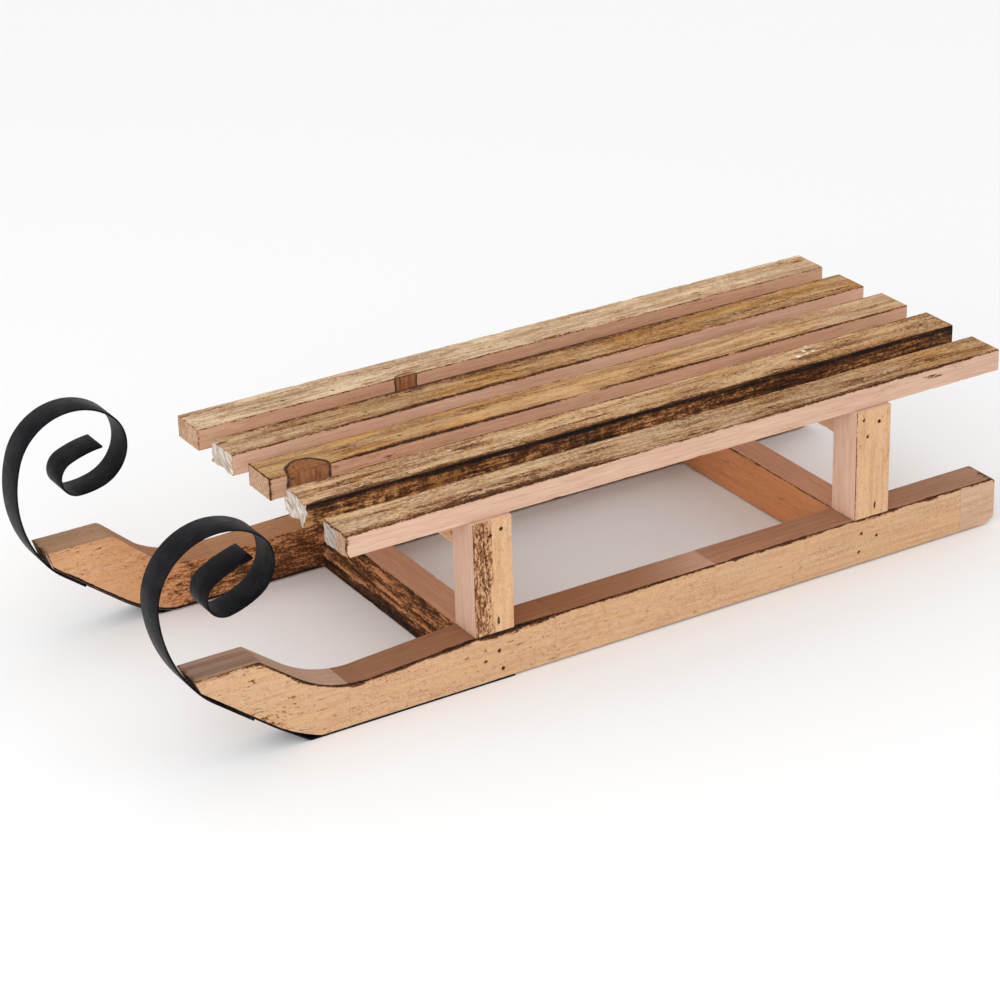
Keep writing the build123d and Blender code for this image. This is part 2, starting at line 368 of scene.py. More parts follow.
class Shader:
    """A material under construction. Each call adds one node and gives back its output."""

    def __init__(self, name):
        self.material = bpy.data.materials.new(name)
        self.material.use_nodes = True
        self.tree = self.material.node_tree
        self.surface = self.tree.nodes["Principled BSDF"]

    def node(self, kind, values, output=0, **settings):
        made = self.tree.nodes.new("ShaderNode" + kind)
        for setting, value in settings.items():
            setattr(made, setting, value)
        for socket, value in values.items():
            self.feed(made.inputs[socket], value)
        return made.outputs[output]

    def feed(self, socket, value):
        if isinstance(value, bpy.types.NodeSocket):
            self.tree.links.new(value, socket)
        else:
            socket.default_value = value

    def attribute(self, name, output="Fac"):
        return self.node("Attribute", {}, output, attribute_name=name)

    def maths(self, operation, first, second):
        return self.node("Math", {0: first, 1: second}, operation=operation)

    def noise(self, vector, size, detail=2, roughness=0.5):
        scale = tuple(1 / length for length in size)
        stretched = self.node("VectorMath", {0: vector, 1: scale}, operation="MULTIPLY")
        inputs = {"Vector": stretched, "Scale": 1, "Detail": detail, "Roughness": roughness}
        return self.node("TexNoise", inputs)

    def steps(self, value, low, high, start=0, end=1):
        """A smooth rise from start to end as the value goes from low to high."""
        inputs = {"Value": value, "From Min": low, "From Max": high, "To Min": start, "To Max": end}
        return self.node("MapRange", inputs, interpolation_type="SMOOTHSTEP")

    def ramp(self, factor, stops):
        made = self.tree.nodes.new("ShaderNodeValToRGB")
        self.feed(made.inputs[0], factor)
        elements = made.color_ramp.elements
        while len(elements) < len(stops):
            elements.new(0.5)
        for element, (position, colour) in zip(elements, stops):
            element.position = position
            element.color = linear(colour)
        return made.outputs[0]

    def mix(self, factor, first, second, blend="MIX"):
        made = self.tree.nodes.new("ShaderNodeMix")
        made.data_type = "RGBA"
        made.blend_type = blend
        self.feed(made.inputs[0], factor)
        self.feed(made.inputs[6], first)
        self.feed(made.inputs[7], second)
        return made.outputs[2]

    def bump(self, height, strength, distance):
        inputs = {"Height": height, "Strength": strength, "Distance": distance}
        self.feed(self.surface.inputs["Normal"], self.node("Bump", inputs))


def weathered_wood(shader, looks, grain, streak, patch, speckle, fleck):
    """An old rough face: streaks, pale patches, dark flecks, stains and speckle."""
    colour = shader.ramp(streak, looks["rough"])
    colour = shader.mix(shader.steps(patch, 0.5, 0.66, 0, 0.6), colour, linear(looks["patch"]))
    patchy = shader.maths("ADD", fleck, shader.maths("MULTIPLY", patch, FLECK_CLUSTER))
    flecked = shader.steps(patchy, *looks["fleck_level"], 0, 0.8)
    flecked = shader.maths("MULTIPLY", flecked, shader.attribute("flecks"))
    colour = shader.mix(flecked, colour, linear(looks["fleck"]))
    stain = shader.noise(grain, looks["stain_size"], 3, 0.6)
    stained = shader.steps(stain, 0.5, 0.68, 0, looks["stain_share"])
    colour = shader.mix(stained, colour, linear(looks["stain"]))
    speckled = shader.ramp(speckle, [(0.32, looks["speckle"]), (0.56, (255, 255, 255))])
    return shader.mix(0.6, colour, speckled, "MULTIPLY")


def sawn_wood(shader, streak, hair):
    """A fresh sawn face: soft streaks and fine hairs."""
    hairs = shader.ramp(hair, [(0.3, (216, 208, 202)), (0.7, (255, 255, 255))])
    return shader.mix(0.5, shader.ramp(streak, SAWN), hairs, "MULTIPLY")


def add_ends(shader, looks, grain, colour):
    """Sawn end grain, and the split fibres of a torn end."""
    end_lines = shader.noise(grain, (60, 0.9, 2.2), 3)
    colour = shader.mix(shader.attribute("end"), colour, shader.ramp(end_lines, looks["end"]))
    leaning = shader.node("VectorRotate", {0: grain, 3: TORN_LEAN}, rotation_type="X_AXIS")
    fibres = shader.noise(leaning, (2, 7, 0.6), 3, 0.65)
    return shader.mix(shader.attribute("torn"), colour, shader.ramp(fibres, TORN))


def add_knots_and_warmth(shader, looks, grain, colour):
    """A knot's layer rises from 0 well outside it, through 1 at its dark ring, to 2 at its middle."""
    knot = shader.attribute("knot")
    heart = shader.ramp(shader.noise(grain, (1.6, 1.6, 9), 3), HEART)
    colour = shader.mix(shader.steps(knot, 1.0, 1.1), colour, heart)
    colour = shader.mix(shader.attribute("warm"), colour, linear(looks["warm"]), "MULTIPLY")
    ring = shader.maths("MULTIPLY", shader.steps(knot, 0.84, 0.93), shader.steps(knot, 1.01, 1.1, 1, 0))
    return shader.mix(shader.maths("MULTIPLY", ring, 0.93), colour, linear((50, 32, 22)))


def scorched(shader, grain, colour):
    """The burn layer's own shape, broken up by blotches and dots. Gives the colour and how burnt it is."""
    blotch = shader.noise(grain, (9, 1.5, 1.5), 3, 0.6)
    dots = shader.noise(grain, (1.9, 0.9, 0.9), 2, 0.6)
    burn = shader.attribute("burn")
    room = shader.steps(burn, 0.0, 0.3)
    broken = shader.maths("ADD", shader.maths("SUBTRACT", blotch, 0.5), shader.maths("SUBTRACT", dots, 0.5))
    broken = shader.maths("MULTIPLY", broken, shader.maths("MULTIPLY", room, 1.1))
    burnt = shader.maths("ADD", burn, broken)
    singed = shader.ramp(burnt, BURN_RAMP)
    return shader.mix(shader.steps(burnt, 0.05, 0.45), colour, singed), burnt


def wood_material(name, looks):
    """Sawn, weathered and scorched softwood. The looks give its colours; each point's layers mix them."""
    shader = Shader(name)
    grain = shader.attribute("grain", "Vector")
    rough = shader.attribute("rough")
    streak = shader.noise(grain, (48, 1.8, 1.8), 4, 0.65)
    patch = shader.noise(grain, (46, 6.5, 6.5), 2)
    hair = shader.noise(grain, (11, 0.45, 0.45), 2)
    speckle = shader.noise(grain, (1.2, 0.55, 0.55), 2, 0.7)
    fleck = shader.noise(grain, looks["fleck_size"], 2, 0.65)

    old = weathered_wood(shader, looks, grain, streak, patch, speckle, fleck)
    colour = shader.mix(rough, sawn_wood(shader, streak, hair), old)
    colour = add_ends(shader, looks, grain, colour)
    colour = add_knots_and_warmth(shader, looks, grain, colour)
    colour, burnt = scorched(shader, grain, colour)
    tone = shader.attribute("tone")
    shade = shader.node("CombineColor", {0: tone, 1: tone, 2: tone})
    colour = shader.mix(1.0, colour, shade, "MULTIPLY")
    colour = shader.mix(shader.attribute("paint"), colour, linear((232, 230, 226)))

    gloss = shader.maths("ADD", hair, shader.maths("MULTIPLY", burnt, 0.3))
    lumps = shader.maths("MULTIPLY", shader.maths("ADD", speckle, fleck), rough)
    shader.feed(shader.surface.inputs["Base Color"], colour)
    shader.feed(shader.surface.inputs["Roughness"], shader.steps(gloss, 0.2, 1.0, 0.9, 0.7))
    shader.surface.inputs["Specular IOR Level"].default_value = 0.08
    shader.bump(shader.maths("ADD", hair, lumps), 0.4, 0.0002)
    return shader.material


def steel_material(name, looks):
    """Lacquered or dulled steel: long pale streaks that are partly scuff marks and partly painted highlights,
    a little rust and a few bright specks.
    """
    shader = Shader(name)
    place = shader.node("TexCoord", {}, "Object")
    place = shader.node("VectorMath", {0: place, 1: (1000, 1000, 1000)}, operation="MULTIPLY")
    cloud = shader.noise(place, (9, 9, 9), 3, 0.6)
    scuff = shader.noise(place, (0.9, 6, 6), 3, 0.7)
    speck = shader.noise(place, (0.8, 0.8, 0.8), 2)
    colour = shader.mix(shader.steps(cloud, 0.35, 0.7), linear(looks["dark"]), linear(looks["light"]))
    # Pale grey streaks along the steel: partly scuff marks, partly painted highlights.
    scuffed_and_highlighted = shader.steps(scuff, 0.62, 0.75, 0, looks["scuffs_and_highlights"])
    colour = shader.mix(scuffed_and_highlighted, colour, linear((92, 94, 100)))
    rust = shader.maths("MULTIPLY", shader.steps(cloud, 0.58, 0.7), shader.steps(scuff, 0.5, 0.62))
    colour = shader.mix(shader.maths("MULTIPLY", rust, looks["rust"]), colour, linear((96, 62, 44)))
    bright = shader.steps(speck, 0.8, 0.83, 0, looks["specks"])
    colour = shader.mix(bright, colour, linear((190, 192, 196)))
    shader.feed(shader.surface.inputs["Base Color"], colour)
    shader.feed(shader.surface.inputs["Roughness"], shader.steps(scuff, 0.3, 0.75, *looks["roughness"]))
    shader.surface.inputs["Metallic"].default_value = looks["metallic"]
    shader.surface.inputs["Specular IOR Level"].default_value = 0.05
    shader.bump(shader.maths("ADD", cloud, shader.maths("MULTIPLY", scuff, 0.3)), 0.25, 0.0004)
    return shader.material


# How strongly the pale patches hold off the flecks.
FLECK_CLUSTER = -0.5
# Ramps of (position, screen colour), shared by all the wood. Scorching goes from singed to charred.
BURN_RAMP = [
    (0.0, (184, 136, 92)),
    (0.25, (150, 100, 60)),
    (0.45, (108, 68, 40)),
    (0.7, (66, 42, 27)),
    (1.0, (28, 23, 22)),
]
TORN = [(0.38, (146, 122, 104)), (0.5, (198, 184, 172)), (0.62, (224, 217, 210))]
# How far the split fibres of a torn end lean, in radians.
TORN_LEAN = 0.64
HEART = [(0.3, (122, 80, 54)), (0.5, (157, 112, 79)), (0.7, (177, 135, 101))]
SAWN = [(0.3, (208, 171, 148)), (0.5, (219, 184, 162)), (0.7, (226, 194, 173))]
DULL_STEEL = {"metallic": 0.3, "scuffs_and_highlights": 0.4, "rust": 0.3, "specks": 0.0}
MATERIALS = {
    "slat_wood": wood_material("slat_wood", {
        "rough": [(0.32, (166, 136, 106)), (0.45, (200, 174, 144)),
                  (0.58, (219, 197, 169)), (0.72, (230, 211, 184))],
        "patch": (232, 212, 178),
        "fleck": (110, 76, 48),
        "fleck_size": (2.3, 0.5, 0.5),
        "fleck_level": (0.28, 0.36),
        "stain": (172, 128, 88),
        "stain_size": (9, 2.4, 2.4),
        "stain_share": 0.6,
        "speckle": (196, 168, 138),
        "end": [(0.35, (170, 130, 102)), (0.5, (200, 162, 132)), (0.65, (214, 180, 152))],
        "warm": (246, 206, 142),
    }),
    "frame_wood": wood_material("frame_wood", {
        "rough": [(0.3, (208, 164, 122)), (0.5, (222, 182, 144)), (0.7, (228, 192, 156))],
        "patch": (230, 192, 148),
        "fleck": (156, 106, 72),
        "fleck_size": (1.5, 0.7, 0.7),
        "fleck_level": (0.385, 0.46),
        "stain": (206, 152, 112),
        "stain_size": (5, 2.2, 2.2),
        "stain_share": 0.5,
        "speckle": (226, 212, 198),
        "end": [(0.35, (150, 108, 80)), (0.5, (184, 142, 110)), (0.65, (200, 162, 130))],
        "warm": (255, 205, 158),
    }),
    "runner_wood": wood_material("runner_wood", {
        "rough": [(0.3, (208, 164, 124)), (0.5, (220, 180, 143)), (0.7, (227, 190, 155))],
        "patch": (226, 184, 138),
        "fleck": (150, 98, 66),
        "fleck_size": (1.2, 0.6, 0.6),
        "fleck_level": (0.385, 0.46),
        "stain": (204, 148, 110),
        "stain_size": (4, 2, 2),
        "stain_share": 0.45,
        "speckle": (224, 208, 192),
        "end": [(0.35, (130, 94, 70)), (0.5, (166, 128, 100)), (0.65, (186, 150, 122))],
        "warm": (255, 205, 158),
    }),
    "black_steel": steel_material("black_steel", {
        "dark": (13, 11, 14),
        "light": (28, 26, 30),
        "roughness": (0.34, 0.55),
        "metallic": 0.0,
        "scuffs_and_highlights": 0.22,
        "rust": 0.12,
        "specks": 0.6,
    }),
    "brad_steel": steel_material("brad_steel", {
        "dark": (60, 64, 56),
        "light": (96, 102, 92),
        "roughness": (0.45, 0.65),
        **DULL_STEEL,
    }),
    "tack_steel": steel_material("tack_steel", {
        "dark": (30, 29, 30),
        "light": (48, 48, 50),
        "roughness": (0.35, 0.55),
        **DULL_STEEL,
    }),
}


# -------------------------------------------------------- seat slats
# Scorching along each slat's long top edges. Each list holds (share from the front, width in mm, strength).
SLAT_EDGE_BURNS = {
    1: {"near": [(0, 0.7, 0.35), (0.2, 0.7, 0.4), (0.5, 0.8, 0.35), (0.56, 2.2, 0.4), (0.63, 1, 0.3),
                 (1, 0.6, 0.35)],
        "far": [(0, 0.6, 0.3), (1, 0.5, 0.3)]},
    2: {"near": [(0, 0.7, 0.4), (0.15, 1.2, 0.5), (0.25, 2.2, 0.75), (0.5, 2, 0.75), (0.6, 1.1, 0.5),
                 (1, 0.8, 0.45)],
        "far": [(0, 1, 0.3), (0.06, 4, 0.45), (0.3, 5, 0.6), (0.55, 6, 0.6), (0.75, 4, 0.5), (1, 2, 0.35)]},
    3: {"near": [(0, 0.8, 0.45), (0.1, 1, 0.45), (0.13, 2.4, 0.85), (0.25, 2.4, 0.9), (0.4, 1.6, 0.75),
                 (0.455, 1, 0.4), (0.46, 0, 0), (0.485, 0, 0), (0.49, 1.5, 0.5), (0.6, 1.6, 0.75),
                 (0.695, 1.2, 0.75), (0.7, 0.2, 0.2), (0.71, 1.3, 0.75), (0.9, 1.2, 0.6), (1, 0.8, 0.4)],
        "far": [(0, 0.9, 0.4), (0.5, 0.8, 0.4), (1, 0.8, 0.35)]},
    4: {"near": [(0, 1.6, 0.6), (0.03, 2.4, 0.7), (0.2, 2.8, 0.72), (0.35, 2.4, 0.74), (0.5, 1.9, 0.66),
                 (0.62, 1.6, 0.62), (0.72, 2.6, 0.7), (0.85, 2, 0.6), (1, 1.4, 0.5)],
        "far": [(0, 1.2, 0.45), (0.4, 1.8, 0.5), (0.7, 1.2, 0.4), (1, 0.8, 0.35)]},
    5: {"near": [(0, 4, 0.55), (0.08, 3, 0.55), (0.2, 5.5, 0.75), (0.34, 4.5, 0.7), (0.42, 1.6, 0.4),
                 (0.58, 1.4, 0.4), (0.65, 2.6, 0.6), (0.9, 3, 0.65), (1, 1.4, 0.4)],
        "far": [(0, 1, 0.4), (0.3, 0.9, 0.3), (1, 0.7, 0.3)]},
}
# The weathered tops, as (share from the front, tone, warmth): warmth is the golden brown of heated wood.
SLAT_TOPS = {
    1: [(0, 1.06, 0.05), (0.5, 1.05, 0.1), (1, 1.04, 0.25)],
    2: [(0, 0.88, 0.3), (0.3, 0.78, 0.75), (0.75, 0.8, 0.85), (1, 0.86, 0.7)],
    3: [(0, 0.8, 0.75), (0.3, 0.82, 0.8), (0.6, 0.88, 0.6), (1, 0.97, 0.4)],
    4: [(0, 0.95, 0.4), (0.4, 0.95, 0.5), (0.8, 0.92, 0.6), (1, 0.94, 0.65)],
    5: [(0, 0.96, 0.3), (0.5, 0.89, 0.4), (0.8, 0.86, 0.55), (1, 0.84, 0.7)],
}
# The sawn sides, as (tone, warmth). On the first three slats the tone is lifted as painted light, against the
# shade in the gaps between the slats.
SLAT_SIDES = {1: (0.89, 0.3), 2: (1.06, 0.15), 3: (0.94, 0.3), 4: (0.97, 0.2), 5: (1.0, 0.08)}
# The front ends, as (tone, rim's burn).
SLAT_ENDS = {1: (0.93, 0.35), 2: (1.0, 0.2), 3: (0.8, 0.75), 4: (1.0, 0.3), 5: (0.76, 0.6)}
# How strong the dark flecks of the tops are.
SLAT_FLECKS = {1: 0.55, 2: 0.95, 3: 0.6, 4: 1.15, 5: 1.0}
# Torn front ends: how far the fibres reach in mm, and between which shares across they fade out.
TORN_SLATS = {2: 1.6, 4: 2.2, 5: 1.5}
TORN_FADE = {2: (0.96, 1), 4: (0.96, 1), 5: (0.5, 0.66)}
# Knots, as (x, y, radius along the slat, radius across it).
KNOTS = {3: (10.6, -128.0, 11.5, 13.0), 1: (-63.5, -29.5, 6.4, 4.2)}
SPLIT_BEFORE_REAR = 45
SPLIT_BELOW_TOP = 4.6
# Specks of pale paint on the fourth slat, as (x, y, radius).
PAINT_SPECKS = [(23.9, 168.2, 1.4), (33.6, 157.4, 1.6), (29.0, 163.6, 1.3),
                (31.8, 167.6, 1.1), (32.6, 163.2, 1.1)]


def table(rows, column, place):
    """One column of a table of rows, read at places along its first column."""
    return np.interp(place, [row[0] for row in rows], [row[column] for row in rows])


def scorch_slat_edges(piece, number):
    along = piece.share(Y)
    width_noise = 1 + 0.4 * piece.noise((15, 40, 40), 8) + 0.12 * piece.noise((4, 40, 40), 9)
    down = piece.high[Z] - piece.flat[:, Z]
    for edge, corner in (("near", piece.high[X]), ("far", piece.low[X])):
        rows = SLAT_EDGE_BURNS[number][edge]
        width = np.maximum(table(rows, 1, along) * width_noise, 0.05)
        reach = np.abs(corner - piece.flat[:, X]) / width + down / 0.8
        piece.scorch(1.1 * table(rows, 2, along) * np.clip(1 - 0.6 * reach, 0, 1))


def colour_slat(piece, number):
    """The layers that every slat has on its top, sides and edges."""
    look = piece.look
    top, bottom = piece.on["+z"], piece.on["-z"]
    sides = piece.on["+x"] | piece.on["-x"]
    look["rough"] = np.where(top, 1.0, np.where(bottom, 0.7, 0.0))
    side_tone, side_warmth = SLAT_SIDES[number]
    mellow = 1 + 0.35 * piece.noise((30, 8, 8), 14)
    rows = SLAT_TOPS[number]
    # On the sides the tone is partly painted light: the first three slats' sides are lifted against the shade
    # in the gaps.
    look["tone"] *= np.where(top, table(rows, 1, piece.share(Y)), np.where(sides, side_tone, 1))
    look["tone"] *= 1 + 0.06 * piece.noise((60, 12, 12), 13)
    look["warm"] = np.where(top, table(rows, 2, piece.share(Y)) * mellow, sides * side_warmth)
    look["flecks"] = SLAT_FLECKS[number] * (1 + 0.5 * piece.noise((45, 9, 9), 18))
    scorch_slat_edges(piece, number)
    brown = (0.08 + 0.26 * SLAT_FLECKS[number]) * smooth(piece.noise((26, 3, 3), 15), 0.05, 0.6) * top
    blush = 0.14 * smooth(piece.noise((16, 4, 3), 19), 0.2, 0.8) * sides
    piece.scorch(np.maximum(brown, blush))


def colour_slat_ends(piece, number):
    """End grain on both ends, with a burnt rim round the front one."""
    front = piece.on["-y"]
    piece.look["end"] = np.where(front | piece.on["+y"], 1.0, 0.0)
    end_tone, rim = SLAT_ENDS[number]
    piece.look["tone"] *= np.where(front, end_tone, 1)
    from_sides = np.minimum(piece.high[X] - piece.flat[:, X], piece.flat[:, X] - piece.low[X])
    from_edges = np.minimum(from_sides, piece.high[Z] - piece.flat[:, Z])
    from_rim = np.where(front, from_edges, piece.flat[:, Y] - piece.low[Y])
    piece.scorch(rim * np.clip(1 - from_rim / (1.4 + 0.8 * piece.noise((3, 3, 3), 21)), 0, 1))


def add_knot(piece, number):
    x, y, along_radius, across_radius = KNOTS[number]
    reach = np.hypot((piece.flat[:, X] - x) / across_radius, (piece.flat[:, Y] - y) / along_radius)
    reach += 0.05 * piece.noise((3, 3, 3), 10)
    piece.look["knot"] = np.clip(2 - reach, 0, 2)


def plane_top(piece):
    """A pale smooth patch before the middle of the top, and a browned front stretch of the near side."""
    along = piece.share(Y) + 0.03 * piece.noise((9, 5, 5), 23)
    planed = smooth(along, 0.2, 0.3) * (1 - smooth(along, 0.46, 0.49)) * piece.on["+z"]
    planed *= smooth(piece.share(X) + 0.3 * piece.noise((30, 6, 6), 24), 0.25, 0.6)
    piece.look["tone"] *= 1 + 0.16 * planed
    piece.look["flecks"] *= 1 - 0.85 * planed
    side = piece.on["+x"] & (piece.share(Y) < 0.2)
    piece.scorch(side * (0.12 + 0.14 * piece.noise((5, 2, 2), 17)))


def char_near_side(piece):
    """Black under the top edge and brown with saw marks below, more even towards the rear."""
    near = piece.on["+x"]
    rearward = smooth(piece.share(Y), 0.45, 0.65)
    below = smooth(1 - piece.share(Z), 0.08, 0.32)
    level = 1.1 - 0.25 * rearward - (0.64 - 0.39 * rearward) * below
    saw_marks = 0.26 * (1 - 0.6 * rearward) * below
    streaks = 0.3 * piece.noise((30, 9, 0.9), 11) + saw_marks * piece.noise((2.4, 9, 8), 12)
    streaks += 0.16 * piece.noise((45, 30, 30), 20)
    piece.scorch(np.clip(level + streaks, 0, 1.4) * near)
    piece.look["warm"] = np.where(near, 0.75, piece.look["warm"])
    piece.look["rough"] = np.maximum(piece.look["rough"], near)


def spatter_paint(piece):
    for x, y, radius in PAINT_SPECKS:
        reach = np.hypot(piece.flat[:, X] - x, (piece.flat[:, Y] - y) / 1.3) / radius
        reach += 0.3 * piece.noise((0.9, 0.9, 0.9), 16)
        speck = (1 - smooth(reach, 0.5, 1.0)) * piece.on["+z"]
        piece.look["paint"] = np.maximum(piece.look["paint"], speck)


def split_near_side(piece):
    """A dark split that slants across the near side."""
    along = (piece.high[Y] - piece.flat[:, Y] - SPLIT_BEFORE_REAR) / 9
    down = piece.high[Z] - piece.flat[:, Z]
    across = (down - SPLIT_BELOW_TOP + 1.2 * along) / (1.3 + 0.6 * piece.noise((3, 9, 2), 22))
    split = 1 - smooth(np.hypot(along, across), 0.2, 1.1)
    piece.scorch(0.5 * split * piece.on["+x"])


def tear_front_end(piece, number):
    """Pull the front end out into split fibres that slant across it, and fray them."""
    length = TORN_SLATS[number]
    slant = np.stack([
        piece.flat[:, X] * 0.8 - piece.flat[:, Z] * 0.6,
        piece.flat[:, Z] * 0.8 + piece.flat[:, X] * 0.6,
        np.zeros(len(piece.flat)),
    ], axis=1)
    ridge = 0.5 * noise(slant, (16, 1.9, 1), piece.seed + 5)
    ridge += 0.16 * noise(slant, (8, 0.9, 1), piece.seed + 6)
    lump = noise(slant, (7, 5, 1), piece.seed + 7)
    near_end = 1 - smooth(piece.flat[:, Y] - piece.low[Y], 0, 3.5)
    pull = length * (0.35 + 0.6 * ridge + 0.5 * lump)
    if number == 4:
        # a splinter sticks out at the lower near corner
        pull += 2.4 * smooth(piece.share(X), 0.5, 1) * (1 - smooth(piece.share(Z), 0, 0.6))
    piece.points[:, Y] -= pull * near_end
    fray = np.minimum(0.3 * noise(slant, (9, 2.2, 1), piece.seed + 8), 0.2)
    piece.points[:, Z] += fray * near_end * length
    piece.look["torn"] = piece.on["-y"] * (1 - smooth(piece.share(X), *TORN_FADE[number]))


def make_slat(number):
    name = SLATS[number - 1]
    low, high = box_mm(name)
    own_pits = [head for head in PITS["slats"] if low[X] < head[X] < high[X]]
    marks = ([head[X] for head in own_pits], [head[Y] for head in own_pits], ())
    piece = Piece(name, Y, number, marks)
    colour_slat(piece, number)
    colour_slat_ends(piece, number)
    if number in KNOTS:
        add_knot(piece, number)
    if number == 3:
        plane_top(piece)
    if number == 4:
        char_near_side(piece)
        spatter_paint(piece)
    if number == 5:
        split_near_side(piece)
    piece.round_edges((1, 0.7, 1))
    piece.relief(0.13, 0.04)
    for head in own_pits:
        piece.pit(head, Z, SLAT_PIT_DEPTH, darkness=0.5, rim=1.35)
    if number in TORN_SLATS:
        tear_front_end(piece, number)
    piece.finish("slat_wood")


# -------------------------------------------------------- uprights, bearers and crossbars
# How much of an upright's depth the dark line on its front edge takes.
UPRIGHT_LINE = 0.8 / 22
TOE_SLOT_DEPTH = 1.2
TOE_SLOT_REACH = (0.75, 1.8)


def outer_and_inner(side):
    """The names of a side's outer and inner faces."""
    return ("+x", "-x") if side == "left" else ("-x", "+x")


def colour_upright(piece, end, outer, inner):
    look = piece.look
    look["rough"] = np.where(outer, 1.0, 0.0)
    look["tone"] *= 1 + 0.05 * piece.noise((40, 12, 12), 1)
    mottle = 0.33 if end == "front" else 0.08
    forward = 1 - piece.share(Y) + 0.2 * piece.noise((16, 5, 5), 2)
    piece.scorch(mottle * smooth(forward, 0.4, 0.75) * outer)
    piece.scorch(0.7 * np.clip(1 - piece.share(Y) / UPRIGHT_LINE, 0, 1) * outer)
    height = piece.flat[:, Z] - piece.low[Z]
    foot = 0.16 * np.clip(1 - height / (7 + 2 * piece.noise((9, 4, 4), 3)), 0, 1)
    piece.scorch(foot * ~outer)
    look["warm"] = np.where(inner, 0.5, 0.05)
    # The front face's tone: on the rear upright it is painted light, lifting the face under the seat against
    # the seat's shade.
    look["tone"] *= np.where(piece.on["-y"], 0.97 if end == "front" else 1.12, 1)
    look["tone"] *= np.where(outer, 0.96, 1)


def make_upright(end, side):
    name = f"{end}_{side}_upright"
    sign = SIDES[side]
    outer, inner = outer_and_inner(side)
    low, high = box_mm(name)
    brads, slots = [
        [
            head for head in PITS[kind]
            if head[X] * sign > 0 and low[Y] < head[Y] < high[Y] and low[Z] < head[Z] < high[Z]
        ]
        for kind in ("sides", "slots")
    ]
    heads = brads + slots
    marks = ((), [head[Y] for head in heads], [head[Z] for head in heads])
    piece = Piece(name, Z, 20 + 2 * (end == "rear") + (sign > 0), marks)
    colour_upright(piece, end, piece.on[outer], piece.on[inner])
    piece.round_edges((1, 1, 0.4))
    piece.relief(0.08, 0.03)
    for head in brads:
        piece.pit(head, X, SIDE_PIT_DEPTH)
    for head in slots:
        piece.pit(head, X, TOE_SLOT_DEPTH, TOE_SLOT_REACH)
    piece.finish("frame_wood")


def make_bearer(end):
    piece = Piece(f"{end}_seat_bearer", X, 30 + (end == "rear"))
    look = piece.look
    front = piece.on["-y"]
    look["tone"] *= 1 + 0.06 * piece.noise((40, 8, 8), 1)
    look["warm"] += 0.3
    look["rough"] = np.where(front, 0.5, 0.0)
    piece.scorch(0.25 * smooth(piece.noise((24, 4, 4), 2), 0.1, 0.7) * front)
    piece.round_edges((0.4, 1, 1))
    piece.relief(0.08, 0.03)
    piece.finish("frame_wood")


# The lower crossbars: the top's tone and the rest's, which are partly painted light that lifts the crossbar
# against the shade under the seat, then how burnt each part of the front is.
CROSSBARS = {
    "front": {"top": 0.88, "rest": 0.75, "face": 0.36, "foot": 0.4, "streaks": 1.0, "arris": 0.25},
    "rear": {"top": 0.95, "rest": 0.96, "face": 0.02, "foot": 0.0, "streaks": 0.45, "arris": 0.45},
}


def make_crossbar(end):
    piece = Piece(f"{end}_lower_crossbar", X, 34 + (end == "rear"))
    look = piece.look
    wear = CROSSBARS[end]
    top, front = piece.on["+z"], piece.on["-y"]
    # These tones are partly painted light, lifting the crossbar against the shade under the seat.
    look["tone"] *= np.where(top, wear["top"], wear["rest"])
    look["warm"] = np.where(top, 0.5, 0.85)
    look["flecks"] *= 0.4
    look["rough"] = np.where(front, 0.5, 0.0)
    streaks = 0.4 * piece.noise((34, 9, 2.2), 1) + 0.2 * piece.noise((7, 9, 1.0), 2)
    level = wear["face"] + wear["foot"] * smooth(1 - piece.share(Z), 0.6, 0.95) + wear["streaks"] * streaks
    piece.scorch(np.clip(level * front, 0, 1.1))
    from_arris = (piece.high[Z] - piece.flat[:, Z]) + (piece.flat[:, Y] - piece.low[Y])
    width = 1.4 + 0.8 * piece.noise((12, 40, 40), 3)
    piece.scorch(wear["arris"] * np.clip(1 - from_arris / width, 0, 1))
    piece.round_edges((0.4, 1, 1))
    piece.relief(0.09, 0.03)
    piece.finish("frame_wood")


# -------------------------------------------------------- runners
# Colour of each runner's sawn top, as (distance along the sledge, tone, warmth). Two rows close together
# are a sudden change, at a glue joint or at the rear edge of the nose's flat.
RUNNER_TOP = {
    "left": [(-240, 0.58, 0.25), (-201, 0.56, 0.25), (-200, 0.66, 0.2), (-165, 0.75, 0.15),
             (-154.1, 0.7, 0.25), (-153.9, 0.45, 0.7), (-80, 0.45, 0.75), (-60, 0.46, 0.9),
             (-35.1, 0.5, 0.85), (-34.9, 0.46, 0.9), (20, 0.56, 0.7), (60, 0.88, 0.3), (63, 0.88, 0.3),
             (64, 0.64, 0.6), (120, 0.6, 0.65), (226, 0.58, 0.5), (260, 0.64, 0.35)],
    "right": [(-245, 0.62, 0.15), (-205, 0.66, 0.15), (-200, 0.56, 0.5), (-145, 0.56, 0.55), (-144, 0.6, 0.5),
              (-47, 0.6, 0.5), (-46, 0.56, 0.6), (78, 0.62, 0.6), (260, 0.58, 0.6)],
}


# How far behind its top the nose's underside starts, and how long the flat on top of the nose is.
NOSE_LEAN = 3.0
NOSE_FLAT = 37
# Edge wear beside a glue joint, as a share of the usual.
JOINT_EDGE = 0.05


def lay_on_outline(points, low, high, outline, lean):
    """Bend a box grid so that its top and bottom follow the runner's outline."""
    y = points[:, Y]
    length = high[Y] - low[Y]
    share = (points[:, Z] - low[Z]) / (high[Z] - low[Z])
    bottom_y = high[Y] - (high[Y] - y) * (length - lean) / length
    top = np.stack([y, outline.top(y)])
    bottom = np.stack([bottom_y, outline.bottom(bottom_y)])
    bent = points.copy()
    bent[:, Y], bent[:, Z] = bottom + share * (top - bottom)
    return bent


